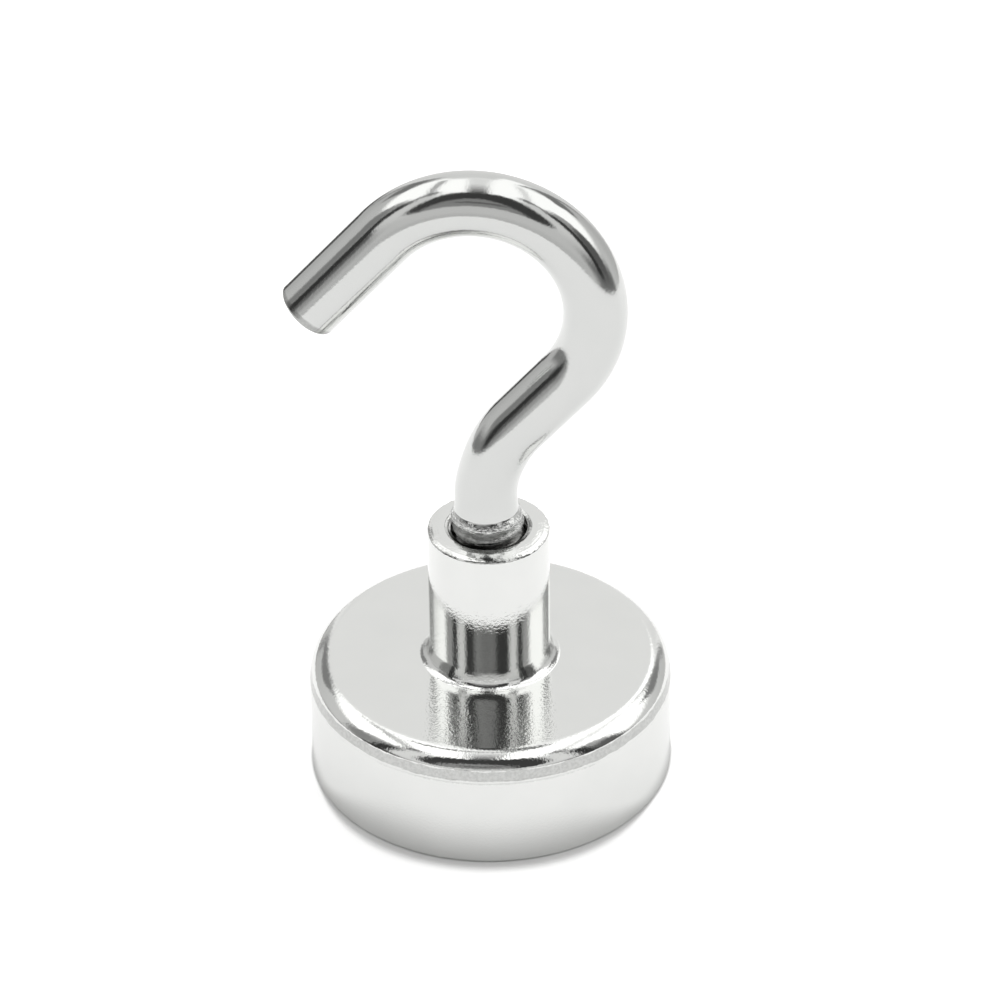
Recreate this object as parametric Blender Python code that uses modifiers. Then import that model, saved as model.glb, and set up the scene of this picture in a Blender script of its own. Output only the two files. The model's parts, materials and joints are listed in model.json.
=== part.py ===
"""Magnetic hook: a steel pot magnet with a threaded neck and a wire hook that screws into it.

Metres, +Z up. The origin is the centre of the magnet's working face, +Z runs up the axis of the
neck, and the hook lies in the XZ plane with its mouth open towards -X.
"""
import math

import bpy
from mathutils import Vector

MM = 0.001
DEGREE = math.pi / 180

# Fits between the pieces
SEAT_GAP = 0.1 * MM            # left between pieces that are glued, riveted or seated on each other
THREAD_CLEARANCE = 0.05 * MM   # radial play of the hook's thread in the neck's thread

# Disc magnet
MAGNET_DIAMETER = 15.0 * MM
MAGNET_THICKNESS = 3.6 * MM
MAGNET_EDGE_RADIUS = 0.3 * MM

# Cured resin round and behind the magnet
RESIN_RING_WIDTH = 0.5 * MM
RESIN_RECESS = 0.3 * MM        # how far the ring stops short of the working face
RESIN_MENISCUS = 0.15 * MM
GLUE_FILM_THICKNESS = 0.1 * MM

# Steel pot
POT_WALL = 1.8 * MM
POT_FLOOR_THICKNESS = 2.95 * MM
POT_SHOULDER_RADIUS = 1.3 * MM
POT_RIM_RADIUS = 0.15 * MM
POT_CAVITY_CORNER_RADIUS = 0.3 * MM
COLLAR_LEDGE = 0.4 * MM        # flat ring that shows round the neck's foot
COLLAR_HEIGHT = 1.0 * MM
COLLAR_EDGE_RADIUS = 0.2 * MM
COLLAR_FOOT_RADIUS = 0.3 * MM

# Threaded neck, a turned bush riveted through the pot's floor
THREAD_DIAMETER = 4.0 * MM     # nominal size of the metric thread, 0.7 mm pitch
NECK_WALL = 1.325 * MM
NECK_HEIGHT = 7.3 * MM
NECK_RIM_RADIUS = 0.2 * MM
MOUTH_CHAMFER = 0.375 * MM
SPIGOT_WALL = 0.6 * MM
RIVET_FLARE = 0.5 * MM

# Hook, one length of bent wire with a rolled thread on its shank
WIRE_DIAMETER = 3.42 * MM
THREAD_END_SPACE = 3.3 * MM    # empty thread left below the shank when the hook is home
THREAD_END_CHAMFER = 0.4 * MM
THREAD_RUNOUT = 0.4 * MM
SHANK_RISE = 2.1 * MM          # straight wire from the neck's rim to the first bend
FIRST_BEND_RADIUS = 7.0 * MM
FIRST_BEND_ANGLE = 40.9 * DEGREE
LEANING_RUN = 3.85 * MM
BOW_RADIUS = 6.3 * MM
BOW_ANGLE = 179.2 * DEGREE
TIP_RUN = 6.3 * MM
TIP_EDGE_RADIUS = 0.2 * MM

# Fineness of the round surfaces
POT_SIDES = 72
NECK_SIDES = 60
ROUNDING_FACET = 0.25 * MM
WIRE_BEVEL_RESOLUTION = 10
BEND_STEP = 4 * DEGREE
SHARP_ANGLE = 30 * DEGREE
AXIS_MERGE = 0.001 * MM

# Sizes that follow from the ones above
magnet_radius = MAGNET_DIAMETER / 2
resin_inner_radius = magnet_radius + SEAT_GAP
resin_outer_radius = resin_inner_radius + RESIN_RING_WIDTH
cavity_radius = resin_outer_radius + SEAT_GAP
film_bottom = MAGNET_THICKNESS + SEAT_GAP
film_top = film_bottom + GLUE_FILM_THICKNESS
cavity_depth = film_top + SEAT_GAP
pot_radius = cavity_radius + POT_WALL
pot_height = cavity_depth + POT_FLOOR_THICKNESS
bore_radius = THREAD_DIAMETER / 2
neck_radius = bore_radius + NECK_WALL
spigot_radius = bore_radius + SPIGOT_WALL
collar_radius = neck_radius + COLLAR_LEDGE
collar_top = pot_height + COLLAR_HEIGHT
neck_foot = collar_top + SEAT_GAP
neck_top = neck_foot + NECK_HEIGHT
hook_thread_radius = bore_radius - THREAD_CLEARANCE
hook_thread_length = neck_top - cavity_depth - THREAD_END_SPACE


def clear_scene():
    for old in list(bpy.data.objects):
        bpy.data.objects.remove(old, do_unlink=True)


def plain_material(name, colour, roughness, metallic):
    material = bpy.data.materials.new(name)
    material.use_nodes = True
    surface = material.node_tree.nodes["Principled BSDF"]
    surface.inputs["Base Color"].default_value = (*colour, 1.0)
    surface.inputs["Roughness"].default_value = roughness
    surface.inputs["Metallic"].default_value = metallic
    return material


def rounded(corners, closed):
    """Outline through (radius, height, rounding) corners, each corner turned into an arc."""
    outline = []
    last = len(corners) - 1
    for index, (across, up, rounding) in enumerate(corners):
        corner = Vector((across, up))
        if rounding == 0 or (not closed and index in (0, last)):
            outline.append(corner)
            continue
        before = Vector(corners[index - 1][:2]) - corner
        after = Vector(corners[(index + 1) % len(corners)][:2]) - corner
        half_angle = before.angle(after) / 2
        setback = min(rounding / math.tan(half_angle), before.length / 2, after.length / 2)
        radius = setback * math.tan(half_angle)
        middle = (before.normalized() + after.normalized()).normalized()
        centre = corner + middle * radius / math.sin(half_angle)
        start = corner + before.normalized() * setback - centre
        end = corner + after.normalized() * setback - centre
        sweep = start.angle_signed(end)
        steps = max(2, math.ceil(abs(sweep) * radius / ROUNDING_FACET))
        for step in range(steps + 1):
            turn = -sweep * step / steps
            arm = Vector((
                start.x * math.cos(turn) - start.y * math.sin(turn),
                start.x * math.sin(turn) + start.y * math.cos(turn)))
            outline.append(centre + arm)
    return outline


def turned_piece(name, corners, material, sides, closed=True):
    """A piece turned about Z from its half section, with crisp edges kept crisp."""
    outline = rounded(corners, closed)
    links = [(index, index + 1) for index in range(len(outline) - 1)]
    if closed:
        links.append((len(outline) - 1, 0))
    section = bpy.data.meshes.new(name)
    section.from_pydata([(point.x, 0, point.y) for point in outline], links, [])
    piece = bpy.data.objects.new(name, section)
    parts.objects.link(piece)
    screw = piece.modifiers.new("Turn", "SCREW")
    screw.steps = sides
    screw.render_steps = sides
    screw.use_merge_vertices = True
    screw.merge_threshold = AXIS_MERGE
    bpy.context.view_layer.objects.active = piece
    bpy.ops.object.modifier_apply(modifier=screw.name)
    piece.data.shade_smooth()
    piece.data.set_sharp_from_angle(angle=SHARP_ANGLE)
    piece.data.materials.append(material)
    piece.parent = assembly
    return piece


def make_steel_pot(material):
    """Cup with its floor on top: shoulder, raised collar, riveting hole and magnet cavity."""
    hole_radius = spigot_radius + SEAT_GAP
    flare_radius = spigot_radius + RIVET_FLARE + SEAT_GAP * math.sqrt(2)
    turned_piece("steel_pot", [
        (hole_radius, collar_top, 0),
        (collar_radius, collar_top, COLLAR_EDGE_RADIUS),
        (collar_radius, pot_height, COLLAR_FOOT_RADIUS),
        (pot_radius, pot_height, POT_SHOULDER_RADIUS),
        (pot_radius, 0, POT_RIM_RADIUS),
        (cavity_radius, 0, POT_RIM_RADIUS),
        (cavity_radius, cavity_depth, POT_CAVITY_CORNER_RADIUS),
        (flare_radius, cavity_depth, 0),
        (hole_radius, cavity_depth + flare_radius - hole_radius, 0),
    ], material, POT_SIDES)


def make_magnet_disc(material):
    """Plain disc magnet whose outer face lies level with the pot's rim."""
    turned_piece("magnet_disc", [
        (0, MAGNET_THICKNESS, 0),
        (magnet_radius, MAGNET_THICKNESS, MAGNET_EDGE_RADIUS),
        (magnet_radius, 0, MAGNET_EDGE_RADIUS),
        (0, 0, 0),
    ], material, POT_SIDES, closed=False)


def make_glue_film(material):
    """Thin bond between the back of the magnet and the pot's floor."""
    turned_piece("glue_film", [
        (0, film_top, 0),
        (magnet_radius, film_top, 0),
        (magnet_radius, film_bottom, 0),
        (0, film_bottom, 0),
    ], material, POT_SIDES, closed=False)


def make_resin_ring(material):
    """Ring of resin that fills the groove round the magnet, hollowed a little at its open face."""
    ring_top = cavity_depth - SEAT_GAP
    ring_middle = (resin_inner_radius + resin_outer_radius) / 2
    corner_radius = max(POT_CAVITY_CORNER_RADIUS - SEAT_GAP, 0)
    turned_piece("resin_ring", [
        (resin_inner_radius, ring_top, 0),
        (resin_outer_radius, ring_top, corner_radius),
        (resin_outer_radius, RESIN_RECESS, 0),
        (ring_middle, RESIN_RECESS + RESIN_MENISCUS, 0),
        (resin_inner_radius, RESIN_RECESS, 0),
    ], material, POT_SIDES)


def make_threaded_neck(material):
    """Bush with a countersunk bore, a spigot through the pot's floor and a flared rivet end."""
    turned_piece("threaded_neck", [
        (bore_radius + MOUTH_CHAMFER, neck_top, 0),
        (neck_radius, neck_top, NECK_RIM_RADIUS),
        (neck_radius, neck_foot, 0),
        (spigot_radius, neck_foot, 0),
        (spigot_radius, cavity_depth + RIVET_FLARE, 0),
        (spigot_radius + RIVET_FLARE, cavity_depth, 0),
        (bore_radius, cavity_depth, 0),
        (bore_radius, neck_top - MOUTH_CHAMFER, 0),
    ], material, NECK_SIDES)


def bend(start, heading, radius, angle):
    """Points along an arc from start. A positive angle turns the heading anticlockwise."""
    side = math.copysign(1, angle)
    centre = start + radius * side * Vector((-math.sin(heading), math.cos(heading)))
    steps = math.ceil(abs(angle) / BEND_STEP)
    arc = []
    for step in range(1, steps + 1):
        now = heading + angle * step / steps
        arc.append(centre + radius * side * Vector((math.sin(now), -math.cos(now))))
    return arc, heading + angle


def run(start, heading, length):
    return start + length * Vector((math.cos(heading), math.sin(heading)))


def hook_stations():
    """(across, up, wire radius) along the wire, from the thread's end to the tip."""
    wire_radius = WIRE_DIAMETER / 2
    thread_end = -hook_thread_length
    stations = [
        (0, thread_end, hook_thread_radius - THREAD_END_CHAMFER),
        (0, thread_end + THREAD_END_CHAMFER, hook_thread_radius),
        (0, 0, hook_thread_radius),
        (0, THREAD_RUNOUT, wire_radius),
    ]
    heading = 90 * DEGREE
    centreline = [Vector((0, SHANK_RISE))]
    arc, heading = bend(centreline[-1], heading, FIRST_BEND_RADIUS, -FIRST_BEND_ANGLE)
    centreline += arc
    centreline.append(run(centreline[-1], heading, LEANING_RUN))
    arc, heading = bend(centreline[-1], heading, BOW_RADIUS, BOW_ANGLE)
    centreline += arc
    centreline.append(run(centreline[-1], heading, TIP_RUN - TIP_EDGE_RADIUS))
    stations += [(point.x, point.y, wire_radius) for point in centreline]
    before_tip = centreline[-1]
    for share in (0.5, 1.0):
        point = run(before_tip, heading, TIP_EDGE_RADIUS * share)
        drawn_in = TIP_EDGE_RADIUS * (1 - math.sqrt(1 - share * share))
        stations.append((point.x, point.y, wire_radius - drawn_in))
    return stations


def make_hook(material):
    """Bent wire hook, its origin on the screw axis at the level of the neck's rim."""
    stations = hook_stations()
    wire = bpy.data.curves.new("hook", "CURVE")
    wire.dimensions = "3D"
    wire.bevel_depth = WIRE_DIAMETER / 2
    wire.bevel_resolution = WIRE_BEVEL_RESOLUTION
    wire.use_fill_caps = True
    spline = wire.splines.new("POLY")
    spline.points.add(len(stations) - 1)
    for point, (across, up, radius) in zip(spline.points, stations):
        point.co = (across, 0, up, 1)
        point.radius = radius / wire.bevel_depth
    spline.use_smooth = True
    wire.materials.append(material)
    piece = bpy.data.objects.new("hook", wire)
    parts.objects.link(piece)
    piece.location = (0, 0, neck_top)
    piece.parent = assembly


clear_scene()
parts = bpy.data.collections.new("magnetic_hook")
bpy.context.scene.collection.children.link(parts)
assembly = bpy.data.objects.new("magnetic_hook_assembly", None)
parts.objects.link(assembly)

pot_nickel = plain_material("pot_nickel", (0.82, 0.83, 0.82), 0.10, 1.0)
neck_nickel = plain_material("neck_nickel", (0.84, 0.84, 0.83), 0.08, 1.0)
hook_nickel = plain_material("hook_nickel", (0.83, 0.83, 0.82), 0.12, 1.0)
magnet_nickel = plain_material("magnet_nickel", (0.70, 0.70, 0.69), 0.22, 1.0)
resin = plain_material("resin", (0.05, 0.05, 0.055), 0.45, 0.0)
glue = plain_material("glue", (0.62, 0.60, 0.52), 0.40, 0.0)

make_steel_pot(pot_nickel)
make_magnet_disc(magnet_nickel)
make_glue_film(glue)
make_resin_ring(resin)
make_threaded_neck(neck_nickel)
make_hook(hook_nickel)
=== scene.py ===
import json
import math

import bmesh
import bpy
from mathutils import Matrix, Vector, noise

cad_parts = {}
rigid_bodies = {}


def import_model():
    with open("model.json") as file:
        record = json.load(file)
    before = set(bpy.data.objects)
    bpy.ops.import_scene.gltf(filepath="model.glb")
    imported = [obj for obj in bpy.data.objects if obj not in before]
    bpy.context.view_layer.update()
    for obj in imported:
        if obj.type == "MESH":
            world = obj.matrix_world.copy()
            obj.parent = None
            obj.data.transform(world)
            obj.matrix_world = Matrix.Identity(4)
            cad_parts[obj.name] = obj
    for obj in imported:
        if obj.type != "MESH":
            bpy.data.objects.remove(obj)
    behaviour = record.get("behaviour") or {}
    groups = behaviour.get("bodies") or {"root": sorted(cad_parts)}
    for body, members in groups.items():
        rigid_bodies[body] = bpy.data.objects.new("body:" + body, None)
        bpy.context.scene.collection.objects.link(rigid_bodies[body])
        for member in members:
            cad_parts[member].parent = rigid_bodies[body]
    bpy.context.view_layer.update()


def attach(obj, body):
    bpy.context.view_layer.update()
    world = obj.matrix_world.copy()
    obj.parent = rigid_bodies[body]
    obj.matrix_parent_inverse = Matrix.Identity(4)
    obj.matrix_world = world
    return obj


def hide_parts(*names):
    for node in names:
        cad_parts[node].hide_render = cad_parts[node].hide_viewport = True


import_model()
mm = 0.001


# Studio: the hook stands on a white board inside a small light tent, a cube of white cloth that is lit
# from outside and open in front. The bright plating shows the tent's walls and folds, its dark corner
# seams, and the dark opening with grey behind its lower half.

class Socket:
    """One output of a shader node. Arithmetic on it adds Math nodes, and node() adds any other."""

    def __init__(self, tree, output=None):
        self.tree = tree
        self.output = output

    def node(self, kind, settings=None, inputs=None, output=0):
        made = self.tree.nodes.new(kind)
        for name, value in (settings or {}).items():
            setattr(made, name, value)
        for name, value in (inputs or {}).items():
            if isinstance(value, Socket):
                self.tree.links.new(value.output, made.inputs[name])
            else:
                made.inputs[name].default_value = value
        return Socket(self.tree, made.outputs[output])

    def maths(self, operation, *values):
        inputs = dict(enumerate(values))
        return self.node("ShaderNodeMath", {"operation": operation}, inputs)

    def __add__(self, other):
        return self.maths("ADD", self, other)

    def __radd__(self, other):
        return self.maths("ADD", other, self)

    def __sub__(self, other):
        return self.maths("SUBTRACT", self, other)

    def __rsub__(self, other):
        return self.maths("SUBTRACT", other, self)

    def __mul__(self, other):
        return self.maths("MULTIPLY", self, other)

    def __rmul__(self, other):
        return self.maths("MULTIPLY", other, self)

    def __truediv__(self, other):
        return self.maths("DIVIDE", self, other)

    def __neg__(self):
        return self.maths("MULTIPLY", self, -1.0)

    def __pow__(self, exponent):
        return self.maths("POWER", self, exponent)

    def __abs__(self):
        return self.maths("ABSOLUTE", self)

    def at_least(self, floor):
        return self.maths("MAXIMUM", self, floor)

    def at_most(self, ceiling):
        return self.maths("MINIMUM", self, ceiling)

    def along(self, axis):
        """The X, Y or Z of a vector."""
        return self.node("ShaderNodeSeparateXYZ", None, {0: self}, axis)

    def blend(self, first, second):
        """A colour that goes from first to second as this value goes from 0 to 1."""
        return self.node("ShaderNodeMix", {"data_type": "RGBA"}, {0: self, 6: first, 7: second}, 2)

    def grain(self, scale, detail, roughness=0.5):
        """Noise from 0 to 1 at this place on the surface."""
        settings = {"Vector": self, "Scale": scale, "Detail": detail, "Roughness": roughness}
        return self.node("ShaderNodeTexNoise", None, settings, "Fac")

    def bump(self, distance):
        """The surface's normal where this value is its height."""
        return self.node("ShaderNodeBump", None, {"Strength": 1.0, "Distance": distance, "Height": self})

    def ramp(self, low, high):
        """0 below low, 1 above high, and a smooth rise between them."""
        limits = {"Value": self, "From Min": low, "From Max": high}
        return self.node("ShaderNodeMapRange", {"interpolation_type": "SMOOTHSTEP"}, limits)

    def band(self, low, high, soft):
        """1 between low and high, 0 outside, with edges as wide as soft."""
        rise = self.ramp(low - soft / 2, low + soft / 2)
        fall = self.ramp(high - soft / 2, high + soft / 2)
        return rise * (1.0 - fall)

    def towards(self, level, share):
        """This value where share is 0, and level where it is 1."""
        return self * (1.0 - share) + share * level


def oval(across, up, middle, size, soft):
    """1 inside an oval on the tent, 0 outside it."""
    wide = (across - middle[0]) / size[0]
    tall = (up - middle[1]) / size[1]
    return 1.0 - (wide * wide + tall * tall).ramp(1.0 - soft, 1.0 + soft)


world = bpy.data.worlds.new("light_tent")
bpy.context.scene.world = world
world.use_nodes = True
world.node_tree.nodes.clear()
sky = Socket(world.node_tree)
looking = sky.node("ShaderNodeTexCoord", output="Generated")
right = looking.along("X")
away = looking.along("Y")
rise = looking.along("Z")

# Degrees round from the front (right is positive) and degrees up from the board.
turn = sky.maths("ARCTAN2", right, -away) * (180 / math.pi)
up = sky.maths("ARCSINE", rise) * (180 / math.pi)
aside = abs(turn)
on_left = 1.0 - turn.ramp(-1.0, 1.0)

cloth = 1.50
tent = 0.0 * up + cloth
# The back wall is plain paper and takes less light.
back_wall = aside.ramp(152, 160) * (1.0 - up.ramp(44, 60))
tent = tent.towards(0.90, back_wall * (1.0 - turn.band(100, 171, 4) * up.ramp(27, 36)))
# The side walls darken towards the board, and more so towards the back.
foot = 11.0 + on_left * 20.0 + (0.60 - on_left * 0.40) * (aside - 98.0).at_least(0.0)
low_wall = aside.band(68, 155, 6) * (1.0 - (up - foot).ramp(-6 + on_left * 3, 8 - on_left * 4))
tent = tent.towards(0.72 - 0.04 * on_left, low_wall)
tent = tent.towards(0.42, aside.band(118, 156, 30) * (1.0 - (up - foot).ramp(-30, 0)) * 0.35)
# Front wall: bright beside the opening, greyer below it and down its sides.
strip = 1.0 - aside.ramp(56, 64)
tent = tent.towards(0.84, strip * (1.0 - up.ramp(50, 66)))
tent = tent.towards(0.70, strip * (1.0 - up.ramp(8, 24)))
tent = tent.towards(0.32, aside.band(40, 70, 16) * (1.0 - up.ramp(-4, 12)))
tent = tent.towards(0.20, turn.band(45, 98, 12) * (1.0 - up.ramp(-6, 10)))
tent = tent.towards(0.26, turn.band(-112, -62, 16) * (1.0 - up.ramp(-4, 6)))
tent = tent.towards(0.13, oval(turn, up, (-64, 5), (15, 9), 0.6))
# Folds in the cloth at the back corners, and darker things beyond it at the sides.
tent = tent.towards(0.25, aside.band(127, 152, 6) * up.band(21, 37, 4))
tent = tent.towards(0.10, turn.band(-158, -136, 8) * up.band(-13, -1, 4))
tent = tent.towards(0.45, oval(aside, up, (76, 31), (11, 15), 0.5))
tent = tent.towards(0.13, oval(turn, up, (79, 11), (11, 19), 0.5))
tent = tent.towards(0.28, oval(turn, up, (-81, 20), (10, 16), 0.6))
# Seams: four upright corners, and the edges between the walls and the ceiling.
tent = tent.towards(0.04, aside.band(58.5, 70.0, 4) * up.band(-7, 46, 8))
tent = tent.towards(0.30, aside.band(61, 69, 5) * up.band(42, 62, 8))
left_back = abs(turn + 141.0 + 0.45 * up)
tent = tent.towards(0.26, (1.0 - left_back.ramp(1.0, 3.5)) * up.band(3, 36, 8))
right_back = abs(turn - 149.5 - 0.13 * up)
tent = tent.towards(0.34, (1.0 - right_back.ramp(1.0, 4.0)) * up.band(4, 44, 8))
edge = abs(right) / rise.at_least(0.05) + 0.19 * away
edge_seam = edge.band(0.47, 0.58, 0.07) * away.band(-0.34, 0.55, 0.12)
tent = tent.towards(0.50, edge_seam * (0.5 + 0.5 * on_left))
tent = tent.towards(0.22, aside.band(57, 72, 8) * up.band(55, 63, 5))
# The opening, darkest at the top, with a slit that runs from it up the ceiling.
slit = (1.0 - abs(right + 0.02).ramp(0.06, 0.15)) * away.band(-0.40, 0.62, 0.08) * rise.ramp(0.5, 0.6)
tent = tent.towards(((away + 0.42) * 1.6).at_most(1.02), slit)
wide = turn / 43.0
tall = (up - 42.0) / 26.0
corners = wide * wide * wide * wide + tall * tall * tall * tall
opening = 1.0 - corners.ramp(0.75, 1.15)
tent = tent.towards(0.055, opening)
grey_part = oval(turn, up, (-4, 24), (24, 23), 0.25)
tent = tent.towards(0.30, grey_part * opening)
tent = tent.towards(0.15, oval(turn, up, (0, 34), (16, 3.0), 0.4) * opening)
tent = tent.towards(0.72, oval(turn, up, (0, 10), (34, 11), 0.3))
# Beyond the edge of the board.
low = 1.0 - up.ramp(-9, -2)
tent = tent.towards(0.64, low * (1.0 - aside.ramp(30, 60)))

light_path = sky.node("ShaderNodeLightPath", output="Is Camera Ray")
seen = tent.towards(1.0, light_path)
lit = sky.node("ShaderNodeBackground", None, {"Color": (1.0, 1.0, 0.99, 1.0), "Strength": seen})
world_output = world.node_tree.nodes.new("ShaderNodeOutputWorld")
world.node_tree.links.new(lit.output, world_output.inputs["Surface"])

bpy.ops.object.select_all(action="DESELECT")
bpy.ops.mesh.primitive_circle_add(vertices=96, radius=130 * mm, fill_type="NGON", location=(0, 0, 0))
board = bpy.context.object
board.name = "white_board"
board_white = bpy.data.materials.new("white_board")
board_white.use_nodes = True
board_white.node_tree.nodes.clear()
paper = Socket(board_white.node_tree)
on_board = paper.node("ShaderNodeTexCoord", output="Object")
board_x = on_board.along("X")
board_y = on_board.along("Y")
# The board's colour goes from darker in front to lighter behind: a painted falloff of the tent's light,
# not a real change in the paper.
painted_falloff_paper_tone = board_y.ramp(-5 * mm, 40 * mm).blend((0.85, 0.85, 0.85, 1.0), (0.93, 0.93, 0.93, 1.0))
off_axis = (board_x * board_x + board_y * board_y) ** 0.5
in_front = (-board_y / off_axis).ramp(0.35, 0.95)
# Painted contact shadow: the white lift is left off in a thin ring round the pot, wider in front, for the
# camera. For rays seen in the metal it is left off in a wider ring, a painted shadow in the reflections.
clear_of_painted_shadow = (off_axis - 9.95 * mm) / (0.20 * mm + 0.90 * mm * in_front)
clear_of_painted_mirror_shadow = (off_axis - 9.80 * mm) / (1.0 * mm + 3.6 * mm * in_front)
by_camera = paper.node("ShaderNodeLightPath", output="Is Camera Ray")
by_mirror = paper.node("ShaderNodeLightPath", output="Is Glossy Ray")
share = by_camera * clear_of_painted_shadow.ramp(0.2, 1.0) + by_mirror * clear_of_painted_mirror_shadow.ramp(0.0, 1.0) * 0.78
matt = paper.node("ShaderNodeBsdfDiffuse", None, {"Color": painted_falloff_paper_tone})
nothing = paper.node("ShaderNodeEmission", None, {"Color": (0, 0, 0, 1), "Strength": 0.0})
white = paper.node("ShaderNodeEmission", None, {"Color": (1, 1, 1, 1), "Strength": 0.5})
lift = paper.node("ShaderNodeMixShader", None, {0: share, 1: nothing, 2: white})
surface = paper.node("ShaderNodeAddShader", None, {0: matt, 1: lift})
board_output = board_white.node_tree.nodes.new("ShaderNodeOutputMaterial")
board_white.node_tree.links.new(surface.output, board_output.inputs["Surface"])
board.data.materials.append(board_white)

# The camera looks down at the hook from the front and a little from the right, through a long lens.
camera_data = bpy.data.cameras.new("camera")
camera_data.sensor_width = 36.0
camera_data.lens = 149.92
camera_data.clip_start = 0.01
camera = bpy.data.objects.new("camera", camera_data)
bpy.context.scene.collection.objects.link(camera)
turned = Matrix.Rotation(math.radians(5.414), 4, "Z")
tipped = Matrix.Rotation(math.radians(90 - 34.158), 4, "X")
rolled = Matrix.Rotation(math.radians(-0.688), 4, "Z")
standing = Matrix.Translation((18.137 * mm, -184.517 * mm, 142.698 * mm))
camera.matrix_world = standing @ turned @ tipped @ rolled
bpy.context.scene.camera = camera
bpy.context.scene.view_settings.view_transform = "Standard"


# Steel pot: a round cup turned from mild steel, its floor on top and its rim round the magnet below.
# A collar that curves up to the neck is left standing round the hole that the neck is riveted through.
# The whole cup is bright nickel plated, with the fine grain of the barrel it was finished in.

def start_cylinder(name, sides, radius, bottom, top):
    """A cylinder with its place in its mesh, open for editing."""
    bpy.ops.object.select_all(action="DESELECT")
    bpy.ops.mesh.primitive_cylinder_add(
        vertices=sides, radius=radius, depth=top - bottom, location=(0, 0, (top + bottom) / 2))
    piece = bpy.context.object
    piece.name = name
    piece.data.name = name
    bpy.ops.object.transform_apply(location=True, rotation=True, scale=True)
    bpy.ops.object.mode_set(mode="EDIT")
    return piece


def pick_faces(test):
    """Selects the faces whose middle and normal pass the test, and nothing else."""
    bpy.ops.mesh.select_mode(type="FACE")
    bpy.ops.mesh.select_all(action="DESELECT")
    work = bmesh.from_edit_mesh(bpy.context.object.data)
    for face in work.faces:
        if test(face.calc_center_median(), face.normal):
            face.select_set(True)
    bmesh.update_edit_mesh(bpy.context.object.data)


def pick_edges(test):
    """Selects the edges whose two ends, given as (radius, height) round Z, pass the test."""
    bpy.ops.mesh.select_mode(type="EDGE")
    bpy.ops.mesh.select_all(action="DESELECT")
    work = bmesh.from_edit_mesh(bpy.context.object.data)
    for edge in work.edges:
        ends = [(math.hypot(end.co.x, end.co.y), end.co.z) for end in edge.verts]
        if test(*ends):
            edge.select_set(True)
    bmesh.update_edit_mesh(bpy.context.object.data)


def pick_rings(*rings):
    """Selects the edge rings that lie at these (radius, height) places round Z."""
    near = 0.004 * mm

    def on_ring(first, second):
        for radius, height in rings:
            if all(abs(r - radius) < near and abs(z - height) < near for r, z in (first, second)):
                return True
        return False

    pick_edges(on_ring)


def pick_between(low, high):
    """Selects the edges that run from one height to the other."""
    near = 0.004 * mm

    def runs_up(first, second):
        bottom, top = sorted((first[1], second[1]))
        return abs(bottom - low) < near and abs(top - high) < near

    pick_edges(runs_up)


def round_ring(radius, height, rounding, steps):
    """Rounds the edge ring at that place."""
    pick_rings((radius, height))
    bpy.ops.mesh.bevel(offset=rounding, segments=steps, profile=0.5, affect="EDGES")


def raise_by(distance):
    """Extrudes the selected face straight up, or down for a negative distance."""
    bpy.ops.mesh.extrude_region_move(TRANSFORM_OT_translate={"value": (0, 0, distance)})


def widen_by(share):
    """Scales the selection about the Z axis, keeping its height."""
    bpy.ops.transform.resize(value=(share, share, 1), center_override=(0, 0, 0))


def turn_to(radius_at, low, high, inside=0.0, outside=1.0):
    """Moves each vertex between two heights and two radii to the radius given for its place."""
    work = bmesh.from_edit_mesh(bpy.context.object.data)
    for vert in work.verts:
        radius = math.hypot(vert.co.x, vert.co.y)
        if low <= vert.co.z <= high and inside < radius < outside:
            angle = math.atan2(vert.co.y, vert.co.x)
            share = radius_at(angle, vert.co.z, radius) / radius
            vert.co.x *= share
            vert.co.y *= share
    bmesh.update_edit_mesh(bpy.context.object.data)


def ripple(angle, height, waves, seed):
    """Noise from -1 to 1 that closes on itself round the Z axis."""
    return noise.noise(Vector((math.cos(angle) * waves, math.sin(angle) * waves, height / mm + seed)))


def finish_mesh(piece, crisp=40):
    """Closes the edit, points all faces outwards and sets smooth shading that keeps flats flat."""
    bpy.ops.mesh.select_all(action="SELECT")
    bpy.ops.mesh.remove_doubles(threshold=0.0005 * mm)
    bpy.ops.mesh.normals_make_consistent(inside=False)
    bpy.ops.object.mode_set(mode="OBJECT")
    bpy.ops.object.shade_smooth_by_angle(angle=math.radians(crisp))
    weighted = piece.modifiers.new("flats_flat", "WEIGHTED_NORMAL")
    weighted.keep_sharp = True
    weighted.weight = 80
    bpy.ops.object.modifier_apply(modifier=weighted.name)


pot_sides = 256
pot_radius = 10.0 * mm
pot_height = 6.85 * mm
cavity_radius = 8.2 * mm
cavity_depth = 3.9 * mm
hole_radius = 2.70 * mm
shoulder = 1.3 * mm
rim_rounding = 0.15 * mm
rivet_seat_radius = 3.2 * mm
rivet_seat_depth = 0.5 * mm

pot = start_cylinder("pot_body", pot_sides, pot_radius, 0, pot_height)
pick_faces(lambda middle, normal: normal.z > 0.9)
collar_foot = 3.917 * mm
bpy.ops.mesh.inset(thickness=pot_radius - collar_foot)
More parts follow.
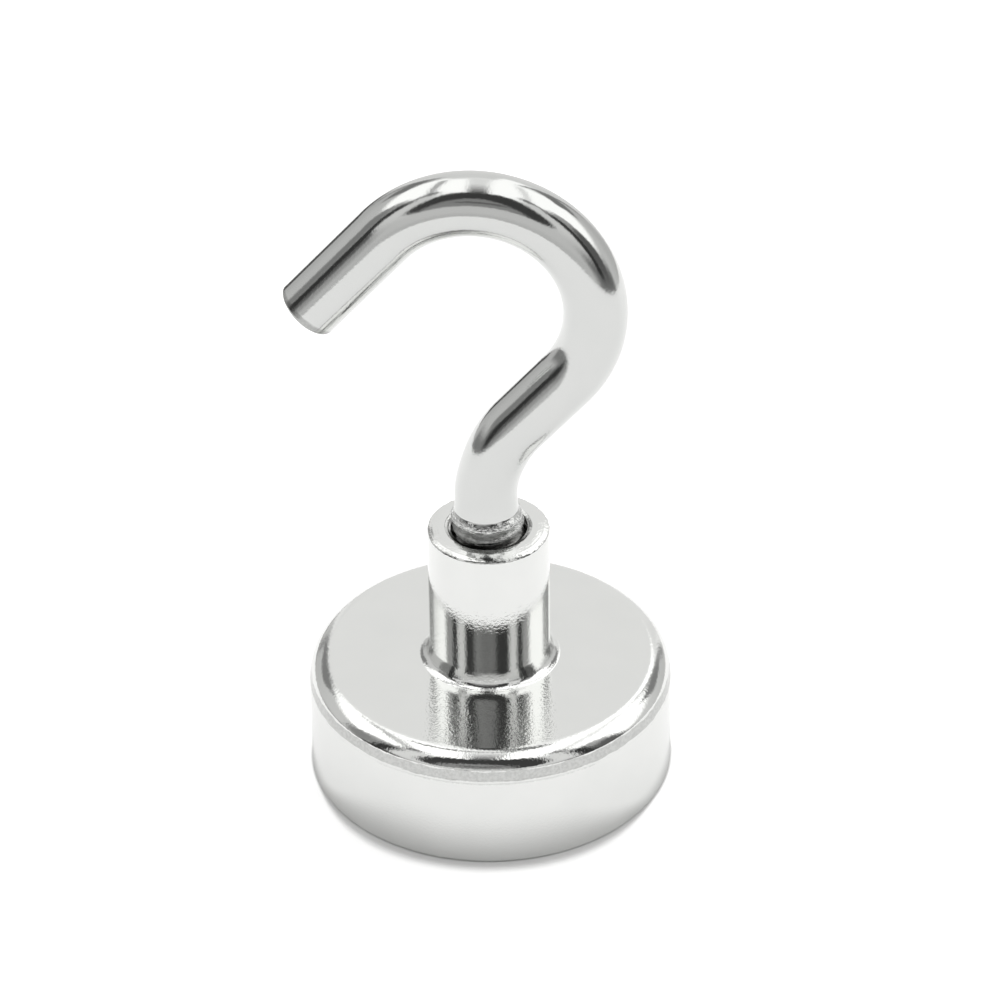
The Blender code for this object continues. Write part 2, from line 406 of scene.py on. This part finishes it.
# Up the collar's hollow side, which is tight low down and almost straight at the top.
reached = collar_foot
level = pot_height
for degrees in range(3, 88, 3):
    slope = math.radians(degrees - 1.5)
    hollow = 0.30 * mm
    if degrees > 12:
        hollow = 0.66 * mm
    if degrees > 39:
        hollow = 0.43 * mm
    if degrees > 72:
        hollow = 2.3 * mm
    run = hollow * math.radians(3) * math.cos(slope)
    climb = hollow * math.radians(3) * math.sin(slope)
    raise_by(climb)
    widen_by((reached - run) / reached)
    reached -= run
    level += climb
bpy.ops.mesh.inset(thickness=reached - hole_radius)
bpy.ops.mesh.delete(type="FACE")
collar_top = level
pick_faces(lambda middle, normal: normal.z < -0.9 and middle.z < 0.1 * mm)
bpy.ops.mesh.inset(thickness=pot_radius - cavity_radius)
raise_by(cavity_depth)
bpy.ops.mesh.inset(thickness=cavity_radius - rivet_seat_radius)
raise_by(rivet_seat_depth)
widen_by(hole_radius / rivet_seat_radius)
bpy.ops.mesh.delete(type="FACE")
pick_rings((hole_radius, collar_top), (hole_radius, cavity_depth + rivet_seat_depth))
bpy.ops.mesh.bridge_edge_loops()
round_ring(pot_radius, pot_height, shoulder, 56)
round_ring(pot_radius, 0, rim_rounding, 6)
round_ring(cavity_radius, 0, rim_rounding, 6)
round_ring(cavity_radius, cavity_depth, 0.3 * mm, 6)
# Under the shoulder the wall starts with a narrow band that was turned a little inwards.
wall_top = pot_height - shoulder
band_foot = wall_top - 0.07 * mm


def turned_band(angle, height, radius):
    taper = 0.21
    soft = 0.009 * mm
    inward = (radius - pot_radius + taper * (height - band_foot)) / soft
    return radius - soft * math.log(1.0 + math.exp(inward))


turn_to(turned_band, band_foot + 0.05 * mm, 6.4 * mm, 9.6 * mm)
# The turning tool left two fine lines where the band runs into the wall.
pick_between(rim_rounding, wall_top)
bpy.ops.mesh.subdivide(number_cuts=11)


def wall_line(angle, height, radius):
    depth = 0.0
    for middle in (wall_top - 0.04 * mm, wall_top - 0.24 * mm):
        depth += 0.018 * mm * math.exp(-((height - middle) / (0.035 * mm)) ** 2)
    return radius - depth


pick_between(wall_top - (wall_top - rim_rounding) / 12, wall_top)
bpy.ops.mesh.subdivide(number_cuts=24)
turn_to(wall_line, wall_top - 0.42 * mm, wall_top + 0.01 * mm, 9.9 * mm)


def uneven_collar(angle, height, radius):
    swell = ripple(angle, height, 6.0, 3.0) + 0.5 * ripple(angle, height, 15.0, 9.0)
    return radius + 0.012 * mm * swell


turn_to(uneven_collar, 6.87 * mm, 7.80 * mm, 3.35 * mm, 4.0 * mm)
finish_mesh(pot)


def start_material(name):
    """A new material, and the place on the surface that its patterns are drawn from."""
    material = bpy.data.materials.new(name)
    material.use_nodes = True
    place = Socket(material.node_tree).node("ShaderNodeTexCoord", output="Object")
    return material, place


def finish_material(material, colour, roughness, bump, metallic):
    """Sends the colour, the roughness and the bump to the material's shader."""
    shader = material.node_tree.nodes["Principled BSDF"]
    shader.inputs["Metallic"].default_value = metallic
    for name, value in (("Base Color", colour), ("Roughness", roughness), ("Normal", bump)):
        material.node_tree.links.new(value.output, shader.inputs[name])


def nickel_plate(name, colours, dull, grain_depth, rough_part, dirt_and_shade_part):
    """Bright nickel plate on steel: faint mottling, fine grain, its rougher parts, and its darker parts,
    which are partly dirt and wear and partly painted shade in hollows and bands.

    The two parts are functions of height and distance from the Z axis, in mm, that give a share."""
    material, place = start_material(name)
    across = place.along("X")
    deep = place.along("Y")
    height = place.along("Z") / mm
    reach = (across * across + deep * deep) ** 0.5 / mm
    fine = place.grain(7000.0, 2.0, 0.6)
    pits = place.grain(6500.0, 2.0)
    cloud = place.grain(420.0, 3.0)
    waves = place.grain(1100.0, 2.0)
    wavy_height = height + (waves - 0.5) * 0.3
    rough = rough_part(wavy_height, reach)
    dirt_and_shade = dirt_and_shade_part(wavy_height, reach)
    clean = cloud.blend(*colours)
    # Darkens towards near black where the dark share is high: partly dirt and wear, partly painted shade.
    soiled_and_shaded = (dirt_and_shade * (0.75 + 0.25 * pits.ramp(0.35, 0.65))).blend(clean, (0.16, 0.16, 0.155, 1.0))
    relief = fine * (grain_depth + 0.0022 * rough) + pits * (0.060 * rough) + waves * 0.0008
    roughness = dull + cloud * 0.04 + rough * 0.08 + dirt_and_shade * 0.15
    finish_material(material, soiled_and_shaded, roughness, relief.bump(mm), 1.0)
    return material


def coarser_top(height, reach):
    return height.ramp(6.70, 6.84) * 0.1


# Darker and rougher inside the cavity, and a band of painted shade round the top of the wall and the foot
# of the shoulder, deepening the dark reflection there.
def darker_cavity_and_painted_shoulder_shade(height, reach):
    cavity = (1.0 - height.ramp(4.2, 4.6)) * height.ramp(0.3, 0.6) * (1.0 - reach.ramp(8.5, 9.0))
    return cavity + height.band(5.50, 6.08, 0.06) * reach.ramp(9.0, 9.5) * 0.45


turned_colours = (0.76, 0.767, 0.756, 1.0), (0.80, 0.803, 0.792, 1.0)
pot_nickel = nickel_plate(
    "pot_nickel_plate", turned_colours, 0.02, 0.0066, coarser_top, darker_cavity_and_painted_shoulder_shade)
pot.data.materials.append(pot_nickel)
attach(pot, "base")
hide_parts("steel_pot")


# Magnet: a sintered disc, nickel plated satin after its edges were tumbled round, glued into the cup
# with its face level with the rim. Only its lower face is in sight.

magnet_radius = 7.5 * mm
magnet_height = 3.6 * mm
tumbled_edge = 0.3 * mm
magnet = start_cylinder("magnet_body", pot_sides, magnet_radius, 0, magnet_height)
round_ring(magnet_radius, 0, tumbled_edge, 6)
round_ring(magnet_radius, magnet_height, tumbled_edge, 6)
finish_mesh(magnet)

magnet_nickel, magnet_place = start_material("magnet_satin_nickel")
stretch = {"Vector": magnet_place, "Scale": (9000.0, 700.0, 700.0)}
grinding_lines = magnet_place.node("ShaderNodeMapping", None, stretch).grain(1.0, 3.0)
orange_peel = magnet_place.grain(3600.0, 2.0)
patches = magnet_place.grain(500.0, 4.0)
satin_tone = patches.blend((0.64, 0.64, 0.62, 1.0), (0.74, 0.738, 0.72, 1.0))
satin_bump = (orange_peel + grinding_lines * 0.35).bump(0.004 * mm)
finish_material(magnet_nickel, satin_tone, 0.24 + patches * 0.14, satin_bump, 1.0)
magnet.data.materials.append(magnet_nickel)
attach(magnet, "base")
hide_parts("magnet_disc")


# Resin ring: dark potting resin poured into the groove between the magnet and the cup, set with its
# face drawn up a little against both walls.

resin_inner = magnet_radius
resin_outer = cavity_radius
resin_low = 0.32 * mm
resin_high = 3.8 * mm
resin = start_cylinder("resin_fill", pot_sides, resin_outer, resin_low, resin_high)
pick_faces(lambda middle, normal: abs(normal.z) > 0.9)
bpy.ops.mesh.inset(thickness=resin_outer - resin_inner, use_individual=True)
bpy.ops.mesh.delete(type="FACE")
pick_rings((resin_inner, resin_low), (resin_inner, resin_high))
bpy.ops.mesh.bridge_edge_loops()


def across_resin(first, second):
    """True for the spokes of the ring's lower face."""
    low_ends = max(first[1], second[1]) < resin_low + 0.01 * mm
    return low_ends and abs(first[0] - second[0]) > 0.5 * mm


pick_edges(across_resin)
bpy.ops.mesh.subdivide(number_cuts=9)
resin_work = bmesh.from_edit_mesh(resin.data)
for vert in resin_work.verts:
    if vert.co.z < resin_low + 0.01 * mm:
        radius = math.hypot(vert.co.x, vert.co.y)
        angle = math.atan2(vert.co.y, vert.co.x)
        across = (2 * radius - resin_inner - resin_outer) / (resin_outer - resin_inner)
        sag = 0.16 * mm * (1 - across * across) + 0.025 * mm * ripple(angle, radius, 9.0, 1.0)
        vert.co.z = resin_low + max(sag, 0.0)
bmesh.update_edit_mesh(resin.data)
finish_mesh(resin)

resin_black, resin_place = start_material("potting_resin")
flow = resin_place.grain(650.0, 3.0)
dust = resin_place.node("ShaderNodeTexVoronoi", None, {"Vector": resin_place, "Scale": 2600.0}, "Distance")
resin_tone = flow.blend((0.035, 0.035, 0.040, 1.0), (0.070, 0.070, 0.075, 1.0))
resin_bump = (flow + dust.ramp(0.0, 0.25) * 0.4).bump(0.006 * mm)
finish_material(resin_black, resin_tone, 0.16 + flow * 0.18, resin_bump, 0.0)
resin.data.materials.append(resin_black)
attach(resin, "base")
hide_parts("resin_ring")


# Glue film: the thin bond that holds the magnet's back to the floor of the cup, squeezed out to a
# wavy edge when the two were pressed together.

glue_radius = 7.1 * mm
glue_bottom = magnet_height
glue = start_cylinder("glue_spread", 128, glue_radius, glue_bottom, cavity_depth)


def squeezed_edge(angle, height, radius):
    return radius * (1.0 + 0.020 * ripple(angle, 0.0, 2.5, 5.0) + 0.008 * ripple(angle, 0.0, 9.0, 6.0))


turn_to(squeezed_edge, 0, pot_height)
pick_faces(lambda middle, normal: abs(normal.z) > 0.9)
bpy.ops.mesh.inset(thickness=0.3 * mm, use_individual=True)
pick_between(glue_bottom, cavity_depth)
bpy.ops.mesh.subdivide(number_cuts=5)


def bulging_edge(angle, height, radius):
    level = (2 * height - glue_bottom - cavity_depth) / (cavity_depth - glue_bottom)
    return radius + 0.06 * mm * (1 - level * level)


turn_to(bulging_edge, glue_bottom, cavity_depth, 6.9 * mm)
finish_mesh(glue)

glue_cured, glue_place = start_material("cured_glue")
streaks = glue_place.grain(800.0, 4.0)
glue_tone = streaks.blend((0.55, 0.53, 0.45, 1.0), (0.68, 0.66, 0.58, 1.0))
finish_material(glue_cured, glue_tone, 0.5 + streaks * 0.2, streaks.bump(0.01 * mm), 0.0)
glue.data.materials.append(glue_cured)
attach(glue, "base")
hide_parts("glue_film")


# Threaded neck: a turned steel bush with an M4 thread and a shallow dished mouth, its spigot riveted
# over inside the cup. Its end face falls away a little to a worn, slightly burred edge.

neck_sides = 160
neck_radius = 3.325 * mm
neck_top = 15.25 * mm
neck_foot = 7.772 * mm
neck_end = 3.96 * mm
spigot_radius = 2.6 * mm
riveted_radius = 3.1 * mm
rivet_height = 0.5 * mm
mouth_radius = 2.375 * mm
mouth_depth = 0.20 * mm
bore_crest = 1.975 * mm
bore_root = 2.22 * mm
bore_start = 0.60 * mm
pitch = 0.7 * mm
corner_height = neck_top - 0.157 * mm
neck = start_cylinder("neck_body", neck_sides, neck_radius, neck_foot, corner_height)
pick_faces(lambda middle, normal: normal.z > 0.9)
reached = neck_radius
for radius, climb in ((3.05, 0.074), (2.70, 0.055), (2.375, 0.028)):
    raise_by(climb * mm)
    widen_by(radius * mm / reached)
    reached = radius * mm
raise_by(-mouth_depth)
widen_by(bore_crest / mouth_radius)
bpy.ops.mesh.delete(type="FACE")
pick_faces(lambda middle, normal: normal.z < -0.9)
bpy.ops.mesh.inset(thickness=neck_radius - spigot_radius)
raise_by(neck_end + rivet_height - neck_foot)
raise_by(-rivet_height)
widen_by(riveted_radius / spigot_radius)
bpy.ops.mesh.inset(thickness=riveted_radius - bore_crest)
bpy.ops.mesh.delete(type="FACE")
pick_rings((bore_crest, neck_top - mouth_depth), (bore_crest, neck_end))
bpy.ops.mesh.bridge_edge_loops(number_cuts=190)
pick_between(neck_top - mouth_depth, neck_top)
bpy.ops.mesh.subdivide(number_cuts=34)


def share_between(value, low, high):
    """0 at low and before it, 1 at high and past it, and a straight rise between them."""
    return min(max((value - low) / (high - low), 0.0), 1.0)


def thread_form(angle, height, root, crest, start):
    """Radius of a right-handed thread with rounded crests and roots, counted from a start height."""
    turns = ((height - start) / pitch - angle / (2 * math.pi)) % 1.0
    lift = share_between(abs(turns - 0.5) * 2, 0.12, 0.88)
    return root + (crest - root) * lift * lift * (3 - 2 * lift)


def dish(height):
    """Radius of the mouth's shallow cone, which still has the tool's rings."""
    down = neck_top - height
    return mouth_radius - 2.0 * down + 0.017 * mm * math.sin(2 * math.pi * down / (0.095 * mm))


def bore_radius(angle, height, radius):
    thread = thread_form(angle, height, bore_root, bore_crest, bore_start)
    if height > neck_top - mouth_depth:
        return max(thread, dish(height))
    return thread


def burred_mouth(angle, height, radius):
    burr = ripple(angle, 0.0, 9.0, 2.0) + 0.7 * ripple(angle, 0.0, 22.0, 4.0)
    return radius + 0.045 * mm * burr


turn_to(bore_radius, neck_end, neck_top - 0.001 * mm, 0.0, 2.4 * mm)
turn_to(burred_mouth, neck_top - 0.001 * mm, neck_top + 0.001 * mm, 2.3 * mm, 2.5 * mm)
pick_edges(lambda first, second: (
    min(first[1], second[1]) > corner_height - 0.001 * mm
    and min(first[0], second[0]) > 2.3 * mm and abs(first[0] - second[0]) > 0.2 * mm))
bpy.ops.mesh.subdivide(number_cuts=5)
round_ring(neck_radius, corner_height, 0.16 * mm, 8)


def worn_corner(angle, height, radius):
    return radius + 0.034 * mm * (ripple(angle, 0.0, 12.0, 11.0) + ripple(angle, 0.0, 30.0, 14.0))


turn_to(worn_corner, corner_height - 0.13 * mm, corner_height + 0.05 * mm, 3.1 * mm)
neck_work = bmesh.from_edit_mesh(neck.data)
for vert in neck_work.verts:
    radius = math.hypot(vert.co.x, vert.co.y)
    if vert.co.z > corner_height - 0.02 * mm and radius > mouth_radius + 0.04 * mm:
        angle = math.atan2(vert.co.y, vert.co.x)
        dent = ripple(angle, radius, 5.0, 7.0) + 0.6 * ripple(angle, radius, 14.0, 8.0)
        vert.co.z += 0.006 * mm * dent - 0.0012 * mm * math.sin(2 * math.pi * radius / (0.17 * mm))
bmesh.update_edit_mesh(neck.data)
finish_mesh(neck)


def worn_edges(height, reach):
    rim = reach.ramp(3.05, 3.2) * height.band(14.95, 15.4, 0.1)
    return rim * 0.15 + (1.0 - reach.ramp(2.30, 2.36)) * 0.2


# Darker inside the bore and down into the mouth: grease there, and painted shade in the hollow.
def greasy_and_shaded_bore(height, reach):
    return (1.0 - reach.ramp(2.30, 2.42)) * (1.0 - height.ramp(14.88, 15.02) * 0.7)


neck_nickel = nickel_plate("neck_nickel_plate", turned_colours, 0.02, 0.0062, worn_edges, greasy_and_shaded_bore)
neck.data.materials.append(neck_nickel)
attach(neck, "base")
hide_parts("threaded_neck")


# Hook: one length of steel wire, an M4 thread rolled on its straight shank, bent cold round two
# posts, its tip cut off square and tumbled, and the whole of it nickel plated.

wire_radius = 1.71 * mm
thread_crest = 1.93 * mm
thread_root = 1.52 * mm
widest_roll = 1.96 * mm
thread_start = 0.183 * mm
thread_end = 7.2 * mm
thread_fade = 16.5 * mm
hook = start_cylinder("hook_wire", 128, wire_radius, thread_end, thread_fade)
pick_between(thread_end, thread_fade)
bpy.ops.mesh.subdivide(number_cuts=13)
pick_edges(lambda first, second: abs(first[1] - second[1]) > 0.1 * mm)
bpy.ops.mesh.subdivide(number_cuts=14)


def rolled_thread(angle, height, radius):
    """The thread, its lead-in chamfer at the lower end and its run-out into the plain wire above."""
    full = share_between(height, 16.30 * mm, 15.90 * mm)
    depth = full * full * (3 - 2 * full)
    thread = thread_form(angle, height, thread_root, thread_crest, thread_start)
    swell = share_between(height, 16.49 * mm, 16.10 * mm) * share_between(height, 15.86 * mm, 16.06 * mm)
    torn = ripple(angle, height * 6, 11.0, 2.0) + ripple(angle, height * 12, 24.0, 6.0)
    torn *= share_between(height, 16.42 * mm, 16.22 * mm) * share_between(height, 15.0 * mm, 15.3 * mm)
    lead_in = 1.35 * mm + (height - thread_end)
    rolled = wire_radius + depth * (thread - wire_radius) + 0.20 * mm * swell + 0.054 * mm * torn
    return min(rolled, lead_in, widest_roll)


turn_to(rolled_thread, thread_end - 0.001 * mm, thread_fade - 0.001 * mm)
pick_faces(lambda middle, normal: normal.z > 0.9 and middle.z > thread_fade - 0.001 * mm)


def spin_wire(centre, angle, steps):
    """Bends the end of the wire round a post that stands across it."""
    bpy.ops.mesh.spin(steps=steps, angle=-angle, center=centre, axis=(0, 1, 0), dupli=False)


def draw_wire(heading, length):
    """Runs the wire straight on. The heading is measured from straight up towards +X."""
    ahead = Vector((math.sin(heading), 0, math.cos(heading))) * length
    bpy.ops.mesh.extrude_region_move(TRANSFORM_OT_translate={"value": ahead})


bend_height = 17.35 * mm
lean = math.radians(40.9)
bow = math.radians(179.2)
raise_by(bend_height - thread_fade)
spin_wire((7.0 * mm, 0, bend_height), lean, 28)
draw_wire(lean, 3.85 * mm)
bow_centre = (-0.532 * mm, 0, 28.968 * mm)
spin_wire(bow_centre, -bow, 120)
draw_wire(lean - bow, 6.294 * mm)
# Where the wire was gripped for the first bend it stands a little to one side.
hook_work = bmesh.from_edit_mesh(hook.data)
for vert in hook_work.verts:
    share = share_between(vert.co.z, 15.4 * mm, 16.4 * mm) * share_between(vert.co.z, 20.0 * mm, 17.4 * mm)
    vert.co.x -= 0.10 * mm * share * share * (3 - 2 * share)
bmesh.update_edit_mesh(hook.data)
# The cut end has a tumbled edge and a face that dips a little in the middle.
bpy.ops.mesh.inset(thickness=0.9 * mm)
along = Vector((math.sin(lean - bow), 0, math.cos(lean - bow)))
bpy.ops.transform.translate(value=along * (-0.02 * mm))
bpy.ops.mesh.select_more()
bpy.ops.mesh.region_to_loop()
bpy.ops.mesh.bevel(offset=0.2 * mm, segments=8, profile=0.5, affect="EDGES")
finish_mesh(hook)
# How far the wire reaches along its last straight run, which is the part well to the side of the neck.
tip_end = max(vert.co.dot(along) for vert in hook.data.vertices if vert.co.x < -7 * mm) / mm


def torn_run_out(height, reach):
    return height.band(15.0, 16.35, 0.3)


# The thread is darker below the plain wire: grease on it, and painted shade where it goes down into the
# neck's mouth. The cut tip is duller and darker.
def greasy_shaded_thread_and_dull_tip(height, reach):
    down_wire = reach * -along.x + height * along.z
    tip = 0.5 * reach.ramp(7.0, 7.5) * down_wire.ramp(tip_end - 0.42, tip_end - 0.25)
    return 1.0 - height.ramp(15.2, 15.9) + tip


# The wire's plate has a darker tone than the cup's. This partly stands in for the dimmer reflections the
# wire shows, as painted shade.
wire_colours_shaded = (0.63, 0.638, 0.63, 1.0), (0.67, 0.673, 0.665, 1.0)
hook_nickel = nickel_plate(
    "hook_nickel_plate", wire_colours_shaded, 0.08, 0.0030, torn_run_out, greasy_shaded_thread_and_dull_tip)
hook.data.materials.append(hook_nickel)
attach(hook, "hook")
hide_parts("hook")
